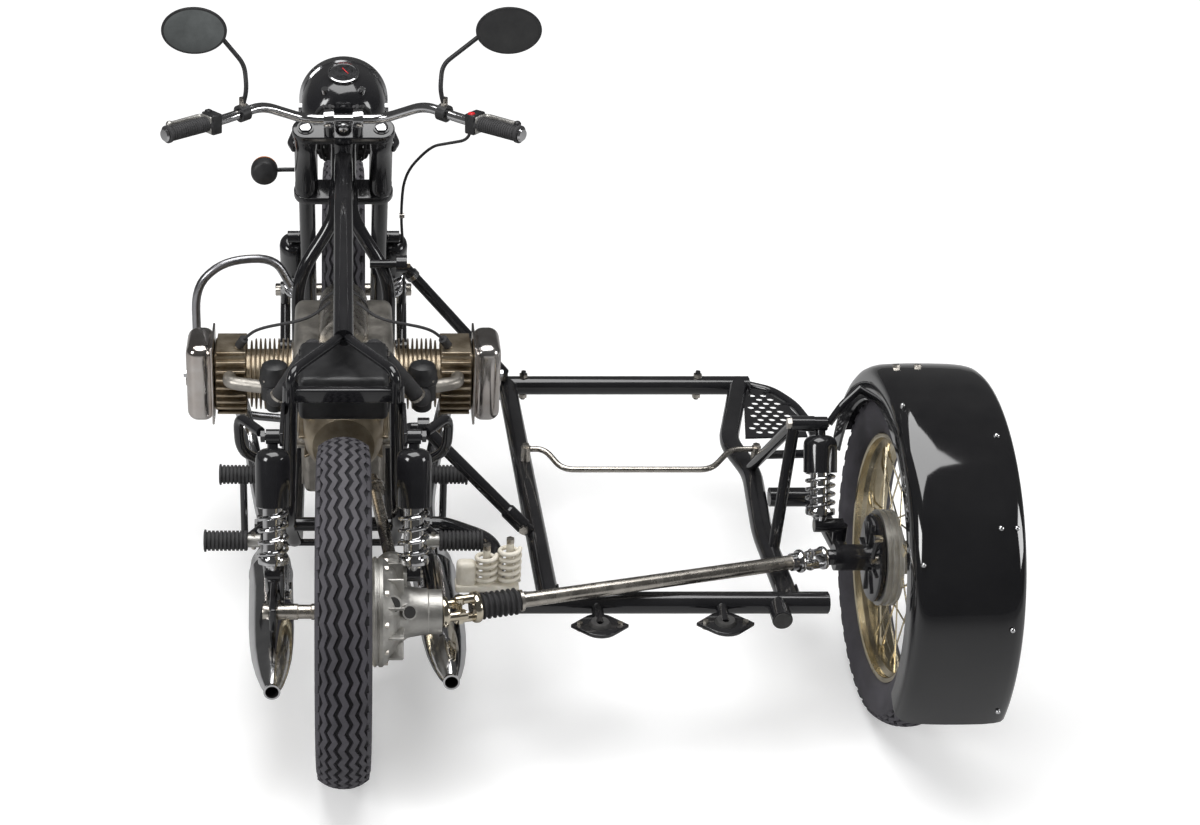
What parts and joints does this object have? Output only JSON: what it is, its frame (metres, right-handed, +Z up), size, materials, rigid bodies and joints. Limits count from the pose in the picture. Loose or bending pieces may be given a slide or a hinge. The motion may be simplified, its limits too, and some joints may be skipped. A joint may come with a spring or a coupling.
{
  "type": "sidecar motorcycle",
  "caption": "Motorcycle with a flat-twin engine and shaft drive, and a bare sidecar chassis with its own driven, fendered wheel; steering and wheels turn.",
  "frame": {"origin": "bottom centre of the whole machine's box, on the ground", "axes": "+Z up, +Y forward in the direction of travel, +X to the machine's right, where the sidecar chassis is"},
  "size_m": [1.6622, 2.175, 1.2887],
  "materials": {
    "tyre_rubber": "matt black-violet tread rubber",
    "wheel_metal": "bright rim and spokes, cast hub",
    "black_enamel": "glossy black enamel",
    "cast_alloy": "warm grey casting",
    "bright_steel": "bright steel",
    "shock_absorber": "black cover over bright coils",
    "chrome": "polished chrome",
    "black_rubber": "matt black rubber",
    "black_plastic": "black plastic",
    "lamp_glass": "clear lens"
  },
  "bodies": {
    "chassis": {"frame": "black_enamel", "swing_arm": "black_enamel", "final_drive": "cast_alloy", "rear_axle": "bright_steel", "rear_shock_left": "shock_absorber", "rear_shock_right": "shock_absorber", "engine": "cast_alloy", "cylinder_left": "cast_alloy", "cylinder_right": "cast_alloy", "rocker_cover_left": "chrome", "rocker_cover_right": "chrome", "carburettor_left": "black_rubber", "carburettor_right": "black_rubber", "air_box": "black_plastic", "exhaust_left": "chrome", "exhaust_right": "chrome", "drive_shaft": "bright_steel", "rider_pegs": "black_rubber", "passenger_peg_left": "black_rubber", "passenger_peg_right": "black_rubber", "engine_guard": "bright_steel", "sidecar_front_tube": "black_enamel", "sidecar_left_rail": "black_enamel", "sidecar_right_rail": "black_enamel", "sidecar_rear_tube": "black_enamel", "sidecar_step": "black_enamel", "sidecar_cross_rod": "bright_steel", "sidecar_arm": "black_enamel", "sidecar_tower": "black_enamel", "sidecar_shock": "shock_absorber", "sidecar_fender": "black_enamel", "sidecar_shaft": "bright_steel", "upper_strut": "black_enamel", "lower_strut": "black_enamel"},
    "steering": {"fork": "black_enamel", "front_links": "black_enamel", "front_shock_left": "shock_absorber", "front_shock_right": "shock_absorber", "handlebar": "chrome", "grip_left": "black_rubber", "grip_right": "black_rubber", "mirror_left": "black_plastic", "mirror_right": "black_plastic", "headlamp": "black_enamel", "headlamp_glass": "lamp_glass", "indicator_left": "black_plastic"},
    "front_wheel": {"front_tyre": "tyre_rubber", "front_wheel": "wheel_metal"},
    "rear_wheel": {"rear_tyre": "tyre_rubber", "rear_wheel": "wheel_metal"},
    "sidecar_wheel": {"sidecar_tyre": "tyre_rubber", "sidecar_wheel": "wheel_metal"}
  },
  "joints": [
    {"name": "steering_turn", "type": "hinge", "parent": "chassis", "child": "steering", "pos_m": [-0.44505, 0.29994, 0.9], "axis": [0, -0.4695, 0.8829], "range_deg": [-35, 35]},
    {"name": "front_wheel_spin", "type": "hinge", "parent": "steering", "child": "front_wheel", "pos_m": [-0.44505, 0.745, 0.3425], "axis": [1, 0, 0], "continuous": true},
    {"name": "rear_wheel_spin", "type": "hinge", "parent": "chassis", "child": "rear_wheel", "pos_m": [-0.44505, -0.745, 0.3425], "axis": [1, 0, 0], "continuous": true},
    {"name": "sidecar_wheel_spin", "type": "hinge", "parent": "chassis", "child": "sidecar_wheel", "pos_m": [0.68695, -0.54534, 0.3425], "axis": [1, 0, 0], "continuous": true}
  ]
}
